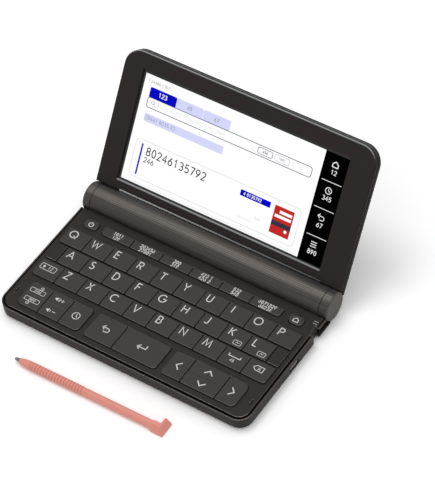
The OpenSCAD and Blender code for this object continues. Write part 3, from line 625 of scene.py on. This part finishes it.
def icon_enter():
    line = ribbon([(2.6, 2.0), (2.6, -0.4), (-2.4, -0.4)], 0.55)
    return line + ribbon([(-0.9, 1.1), (-2.5, -0.4), (-0.9, -1.9)], 0.55)


def icon_space():
    bar = ribbon([(-3.4, 0.7), (-3.4, -0.7), (3.4, -0.7), (3.4, 0.7)], 0.5)
    return bar + centred("45", 0, -3.0, 1.6, 0.3)


def icon_delete():
    tag = ribbon([(-3.0, 0), (-1.5, 1.5), (2.7, 1.5), (2.7, -1.5), (-1.5, -1.5)], 0.42, True)
    return tag + ribbon([(-0.3, 0.65), (1.1, -0.65)], 0.4) + ribbon([(-0.3, -0.65), (1.1, 0.65)], 0.4)


def chevron(angle):
    turn = Matrix.Rotation(math.radians(angle), 2)
    return ribbon([tuple(turn @ Vector(p)) for p in ((-1.2, 2.4), (1.2, 0), (-1.2, -2.4))], 0.6)


def icon_function(above, below):
    """Two short lines of plain figures."""
    return centred(above, 0, 1.25, 1.9, 0.4) + centred(below, 0, -1.25, 1.9, 0.4)


# Each key's icon and where it lies from the key's middle
ICONS = {
    "power_key": (icon_power(), 0, 0),
    "home_key": (icon_home(), 0, 0),
    "key_shift": (icon_shift(), -0.6, 1.0),
    "key_space": (icon_space(), -0.3, 1.6),
    "key_delete": (icon_delete(), -0.2, 1.0),
    "page_up_key": (icon_page("3456", 1), -0.4, -1.1),
    "page_down_key": (icon_page("7890", -1), 0.1, 1.2),
    "volume_up_key": (icon_volume(True), -0.2, 0),
    "volume_down_key": (icon_volume(False), -0.2, 0.2),
    "history_key": (icon_history(), 0, 0),
    "back_key": (icon_back(), 0, 0.6),
    "enter_key": (icon_enter(), 0, 0.4),
    "left_key": (chevron(180), 0, 0),
    "right_key": (chevron(0), 0, 0),
    "up_down_rocker": (moved(chevron(90), 0, 4.0) + moved(chevron(-90), 0, -4.0), 0, 0),
    "function_key_1": (icon_function("1011", "129"), 0, 0),
    "function_key_2": (icon_function("203456", "27801"), 0, 0),
    "function_key_3": (icon_function("308", "319"), 0, 0),
    "function_key_4": (icon_function("423 1", "426 2"), 0, 0),
    "function_key_5": (icon_function("532", "548"), 0, 0),
    "function_key_6": (icon_function("6071829", "68234"), 0, 0),
}
LETTER_HEIGHT, LETTER_LINE = 4.5, 0.58
LETTER_AT = (2.5, 5.1)
TAGGED_LETTERS = "kl"
LETTER_TAG = tag_outline(4.4, 2.7, 0.3) + ribbon([(-1.0, -0.3), (-0.2, 0.5), (0.4, -0.3), (1.1, 0.4)], 0.26)
LETTER_TAG_AT = (10.2, 2.5)
KEY_FLANGE = 0.45
PRINT_UP = 0.03

for name in frame["nodes"]:
    letter = name.removeprefix("key_")
    low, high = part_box(name)
    if letter in LETTERS:
        shapes = strokes(LETTERS[letter], LETTER_LINE, LETTER_HEIGHT, letter in CLOSED_LETTERS)
        shapes = moved(shapes, *LETTER_AT)
        if letter in TAGGED_LETTERS:
            shapes += moved(LETTER_TAG, *LETTER_TAG_AT)
        corner = (low.x, low.y + KEY_FLANGE * MM, high.z)
    elif name in ICONS:
        shapes = moved(*ICONS[name])
        corner = ((low.x + high.x) / 2, (low.y + high.y) / 2, high.z)
    else:
        continue
    flat(f"legend_{name}", shapes, legend_mat, name, Matrix.Translation(corner) @ TO_METRES, PRINT_UP)

# The display: its place on the lid, then its picture in millimetres from the lower left corner
TO_LID = LID.inverted()
panel_corners = [TO_LID @ v.co for v in frame["nodes"]["display_panel"].data.vertices]
PANEL_FACE = max(v.z for v in panel_corners)
PANEL_EDGE = 2.0
BLACK_LEFT, BLACK_TOP, BLACK_LOW = 1.4, 1.3, 0.6
SCREEN_X0 = min(v.x for v in panel_corners) + PANEL_EDGE + BLACK_LEFT
SCREEN_X1 = max(v.x for v in panel_corners) - PANEL_EDGE
SCREEN_Y0 = min(v.y for v in panel_corners) + PANEL_EDGE
SCREEN_Y1 = max(v.y for v in panel_corners) - PANEL_EDGE - BLACK_TOP
SCREEN_W, SCREEN_H = SCREEN_X1 - SCREEN_X0, SCREEN_Y1 - SCREEN_Y0
BAR_W = 14.2
PAGE_W = SCREEN_W - BAR_W
SCREEN = LID @ Matrix.Translation((SCREEN_X0, SCREEN_Y0, 0))

white_lit = lit("lit_white", (1.0, 1.0, 1.0))
black_lit = lit("lit_black", (0.0, 0.0, 0.0))
blue_lit = lit("lit_blue", (0.002, 0.002, 0.55))
navy_lit = lit("lit_navy", (0.012, 0.012, 0.10))
pale_lit = lit("lit_pale_blue", (0.66, 0.68, 0.95))
grey_lit = lit("lit_grey", (0.30, 0.31, 0.34))
line_lit = lit("lit_line", (0.70, 0.71, 0.75))
ink_lit = lit("lit_ink", (0.035, 0.035, 0.055))
red_lit = lit("lit_red", (0.55, 0.02, 0.02))
icon_lit = lit("lit_icon", (0.80, 0.80, 0.80))


def on_screen(name, shapes, material, layer):
    """A patch of the display; each layer lies a hair above the one before."""
    flat(name, shapes, material, "lid", SCREEN, PANEL_FACE + LAYER * layer)


TAB_LOW, TAB_HIGH, TAB_ROUND = 48.4, 54.3, 0.8
TABS = {"45": 21.7, "67": 38.7}
TAB_W = 16.8
CHOSEN_TAB = (4.6, TAB_LOW, 21.6, TAB_HIGH, TAB_ROUND)
HEADING = (4.9, 35.3, 54.9, 39.7, 0.7)
SEARCH = (4.5, 43.1, 107.1, 48.7, 1.4)
CARD = (3.9, 4.1, 107.6, 25.2, 2.2)
PILL_LOW, PILL_HIGH, PILL_ROUND = 44.2, 47.6, 1.1
tabs = [rectangle(x, TAB_LOW, x + TAB_W, TAB_HIGH, TAB_ROUND) for x in TABS.values()]
tab_figures = [shape for text, x in TABS.items() for shape in centred(text, x + TAB_W / 2, 51.6, 2.0, 0.32)]
magnifier = ribbon(circle(8, 46.5, 0.95, 18), 0.3, True) + ribbon([(8.7, 45.8), (9.6, 44.9)], 0.36)
text_cursor = ribbon([(11.6, 44.4), (11.6, 47.6)], 0.22)
page_line = [rectangle(1.2, 1.4, PAGE_W - 1.5, 1.7)]


def pill(text, left, width, line, high, text_line):
    """A small outlined tag on the search line, with its figures."""
    edge = outline(left, PILL_LOW, left + width, PILL_HIGH, PILL_ROUND, line)
    return edge + centred(text, left + width / 2, (PILL_LOW + PILL_HIGH) / 2, high, text_line)


on_screen("screen_page", [rectangle(0, BLACK_LOW, PAGE_W, SCREEN_H)], white_lit, 1)
on_screen("screen_side_bar", [rectangle(PAGE_W, 0, SCREEN_W, SCREEN_H)], black_lit, 1)
on_screen("screen_pale", tabs + [rectangle(*HEADING)], pale_lit, 2)
on_screen("screen_tab_chosen", [rectangle(*CHOSEN_TAB)], blue_lit, 2)
on_screen("screen_tab_print", centred("123", 13.0, 51.7, 2.3, 0.42), white_lit, 4)
on_screen("screen_search_inside", [rectangle(*SEARCH)], white_lit, 3)
search_edge = outline(*SEARCH, 0.36) + pill("456", 74.4, 9.0, 0.3, 1.3, 0.24)
on_screen("screen_search_edge", search_edge, navy_lit, 4)
on_screen(
    "screen_small_print",
    figures("7 24680 1357", 2.2, 56.4, 1.5, 0.22)
    + tab_figures
    + figures("20461 8035 92", 5.9, 36.7, 1.9, 0.25)
    + pill("7890", 84.8, 8.8, 0.2, 1.2, 0.2)
    + magnifier
    + text_cursor,
    grey_lit,
    4,
)
on_screen(
    "screen_lines",
    outline(*CARD, 0.35)
    + figures("0246 81357 9024 6813 5790 2468", 12.6, 45.1, 1.8, 0.2)
    + pill("123", 96.0, 8.8, 0.2, 1.1, 0.18)
    + figures("13579 0246", 72.2, 7.2, 1.1, 0.16)
    + figures("864", 82.6, 9.9, 1.5, 0.24)
    + page_line,
    line_lit,
    4,
)
accents = [rectangle(7.6, 5.6, 8.6, 23.3, 0.2), rectangle(70.9, 19, 89.6, 22.3, 0.3)]
on_screen("screen_accents", accents, blue_lit, 3)
title = figures("80246135792", 11.3, 17.9, 4.3, 0.62) + figures("246", 11, 13.8, 2.7, 0.42)
on_screen("screen_title", title, ink_lit, 3)
on_screen("screen_accent_print", figures("4 0135792", 73, 19.9, 1.6, 0.3), white_lit, 4)

# The plain book on the page, in millimetres from its lower left corner
BOOK_AT = (92.3, 7)
BOOK_W, BOOK_H = 11.8, 15.2
cover = [rectangle(3.4, 11.6, 10.9, 13.2), rectangle(1.0, 9.0, 10.9, 10.6), circle(9.2, 3.2, 0.9, 16)]
on_screen("screen_book", moved([rectangle(0, 0, BOOK_W, BOOK_H)], *BOOK_AT), red_lit, 3)
on_screen("screen_book_cover", moved(cover, *BOOK_AT), white_lit, 4)
on_screen("screen_book_band", moved([rectangle(0, 4.4, BOOK_W, 7.0)], *BOOK_AT), ink_lit, 4)

# The soft keys at the display's right: icon, height of its middle, figures
clock = ribbon(circle(0, 0, 1.5, 24), 0.4, True) + ribbon([(0, 0.9), (0, 0), (0.7, -0.5)], 0.36)
menu = [quad for y in (1.1, 0, -1.1) for quad in ribbon([(-1.5, y), (1.5, y)], 0.42)]
SOFT_KEYS = (
    (icon_home(), 54.9, "12"),
    (clock, 40.6, "345"),
    (moved(icon_back(), 0, 0, 0.75), 25.6, "67"),
    (menu, 10.5, "890"),
)
SOFT_ICON_SCALE = 1.15
SOFT_FIGURES_AT = (0.2, -4.2)
SOFT_LINES = (45.4, 30.4, 15.0)
SOFT_LINE_X = (PAGE_W + 1.6, SCREEN_W - 0.8)
SOFT_LINE_HALF = 0.18
bar_middle = PAGE_W + BAR_W / 2
side_shapes = []
for icon, up, text in SOFT_KEYS:
    side_shapes += moved(icon, bar_middle, up, SOFT_ICON_SCALE)
    side_shapes += centred(text, bar_middle + SOFT_FIGURES_AT[0], up + SOFT_FIGURES_AT[1], 2.3, 0.4)
for up in SOFT_LINES:
    side_shapes.append(rectangle(SOFT_LINE_X[0], up - SOFT_LINE_HALF, SOFT_LINE_X[1], up + SOFT_LINE_HALF))
on_screen("screen_side_icons", side_shapes, icon_lit, 2)

# Painted highlights: pale strips on the tops of the two ribs beside the slot behind the finger notch
STRIP_X = (BODY_W - 4.5, BODY_W - 2.1)
STRIP_Y = (70.85, 72.3)
STRIP_W = 0.55
RIB_TOP = 8.55
for y in STRIP_Y:
    strip = rectangle(STRIP_X[0], y, STRIP_X[1], y + STRIP_W)
    flat(f"strap_rib_painted_highlight_{round(y)}", [strip], rib_highlight_mat, "base", BASE, RIB_TOP + LAYER)

# Screws in the underside's wells
SCREW_X = (30, BODY_W / 2, BODY_W - 30)
SCREW_Y = (12, 58)
SCREW_R, SCREW_LOW, SCREW_HIGH = 1.75, 0.95, 1.49
CROSS_ARMS = ((0.95, 0.2), (0.2, 0.95))
for i, (x, y) in enumerate((x, y) for x in SCREW_X for y in SCREW_Y):
    solid(f"screw_{i + 1}", circle(x, y, SCREW_R, 32), steel_mat, "base", BASE, SCREW_LOW, SCREW_HIGH)
    # Each screw head's cross is a flat dark sheet: painted shade for a recess that is not modelled
    cross = [rectangle(x - a, y - b, x + a, y + b)[::-1] for a, b in CROSS_ARMS]
    flat(f"screw_cross_painted_shade_{i + 1}", cross, dark_plastic_and_shade_mat, "base", BASE, SCREW_LOW - LAYER)

# The tongue with its contacts inside the socket's shell
SOCKET = next(m for m in frame["record"]["mounts"] if m["name"] == "charging_socket")
IN_SOCKET = Matrix.Translation(SOCKET["pos_m"]) @ TO_METRES
TONGUE = (-6.4, -2.2, -0.9, 2.2)
TONGUE_HALF = 0.25
CONTACT_X = (-5.6, -1.1)
CONTACT_Y = (-1.5, -0.75, 0, 0.75, 1.5)
CONTACT_HALF = 0.2
contacts = [rectangle(CONTACT_X[0], y - CONTACT_HALF, CONTACT_X[1], y + CONTACT_HALF) for y in CONTACT_Y]
solid("socket_tongue", rectangle(*TONGUE), dark_plastic_and_shade_mat, "base", IN_SOCKET, -TONGUE_HALF, TONGUE_HALF)
flat("socket_contacts", contacts, steel_mat, "base", IN_SOCKET, TONGUE_HALF + LAYER)

# Camera, fitted to the photo
AZIMUTH, ELEVATION, ROLL = (math.radians(a) for a in (39.64, 49.53, -7.57))
FOCAL_PX = 2514.14
FRAME_LONG_PX = 495
SENSOR_MM = 36
CAMERA_AT = on_base(626.38, -570.98, 1012.52)


def make_camera():
    data = bpy.data.cameras.new("camera")
    cam = bpy.data.objects.new("camera", data)
    bpy.context.collection.objects.link(cam)
    out = math.cos(ELEVATION)
    back = Vector((math.sin(AZIMUTH) * out, -math.cos(AZIMUTH) * out, math.sin(ELEVATION)))
    level = Vector((math.cos(AZIMUTH), math.sin(AZIMUTH), 0))
    above = back.cross(level)
    right = level * math.cos(ROLL) + above * math.sin(ROLL)
    up = above * math.cos(ROLL) - level * math.sin(ROLL)
    turn = Matrix((right, up, back)).transposed()
    cam.matrix_world = Matrix.Translation(CAMERA_AT) @ turn.to_4x4()
    data.sensor_width = SENSOR_MM
    data.lens = FOCAL_PX * SENSOR_MM / FRAME_LONG_PX
    data.clip_start, data.clip_end = 0.01, 20
    bpy.context.scene.camera = cam


# Light and the plain background
FLOOR_WIDE = 6
FLOOR_COLOR = (0.85, 0.85, 0.85)
FLOOR_SEEN_COLOR = (1.25, 1.25, 1.25)
WORLD_LIGHT = 0.7
LAMP_AT = (-0.22, 0.06, 1.08)
LAMP_SIZE = 0.5
LAMP_POWER = 2.6


def page_seen(tree):
    """One where the camera, a reflection or a clear material looks, and nought for the light on things."""
    rays = add(tree, "ShaderNodeLightPath").outputs
    seen = calc(tree, "MAXIMUM", rays["Is Camera Ray"], rays["Is Glossy Ray"])
    return calc(tree, "MAXIMUM", seen, rays["Is Transmission Ray"])


def seen_as(tree, true_look, page_look, output):
    """Shows one look to the eye and in reflections, while the other one gives the light."""
    mix = add(tree, "ShaderNodeMixShader")
    tree.links.new(page_seen(tree), mix.inputs["Fac"])
    tree.links.new(true_look, mix.inputs[1])
    tree.links.new(page_look, mix.inputs[2])
    tree.links.new(mix.outputs["Shader"], tree.nodes[output].inputs["Surface"])


def white_floor():
    """A plain white floor whose lit parts are as white as the page and which keeps the shadows."""
    bpy.ops.mesh.primitive_plane_add(size=FLOOR_WIDE, location=(0, 0, 0))
    floor = bpy.context.object
    floor.name = "floor"
    made, tree, shader = new_material("floor_white", rough=0.9, shine=0.0)
    shader.inputs["Base Color"].default_value = opaque(FLOOR_COLOR)
    seen = add(tree, "ShaderNodeBsdfDiffuse")
    seen.inputs["Color"].default_value = opaque(FLOOR_SEEN_COLOR)
    seen_as(tree, shader.outputs["BSDF"], seen.outputs["BSDF"], "Material Output")
    floor.data.materials.append(made)


def white_world():
    world = bpy.data.worlds.new("white")
    bpy.context.scene.world = world
    world.use_nodes = True
    tree = world.node_tree
    ground = tree.nodes["Background"]
    ground.inputs["Color"].default_value = (1, 1, 1, 1)
    ground.inputs["Strength"].default_value = WORLD_LIGHT
    page = add(tree, "ShaderNodeBackground")
    page.inputs["Strength"].default_value = 1.0
    seen_as(tree, ground.outputs["Background"], page.outputs["Background"], "World Output")


def soft_light():
    data = bpy.data.lights.new("key_light", "AREA")
    data.shape = "DISK"
    data.size = LAMP_SIZE
    data.energy = LAMP_POWER
    lamp = bpy.data.objects.new("key_light", data)
    bpy.context.collection.objects.link(lamp)
    lamp.location = LAMP_AT
    lamp.rotation_mode = "QUATERNION"
    lamp.rotation_quaternion = (-Vector(LAMP_AT)).to_track_quat("-Z", "Y")


white_floor()
white_world()
soft_light()
make_camera()
bpy.context.scene.view_settings.view_transform = "Standard"
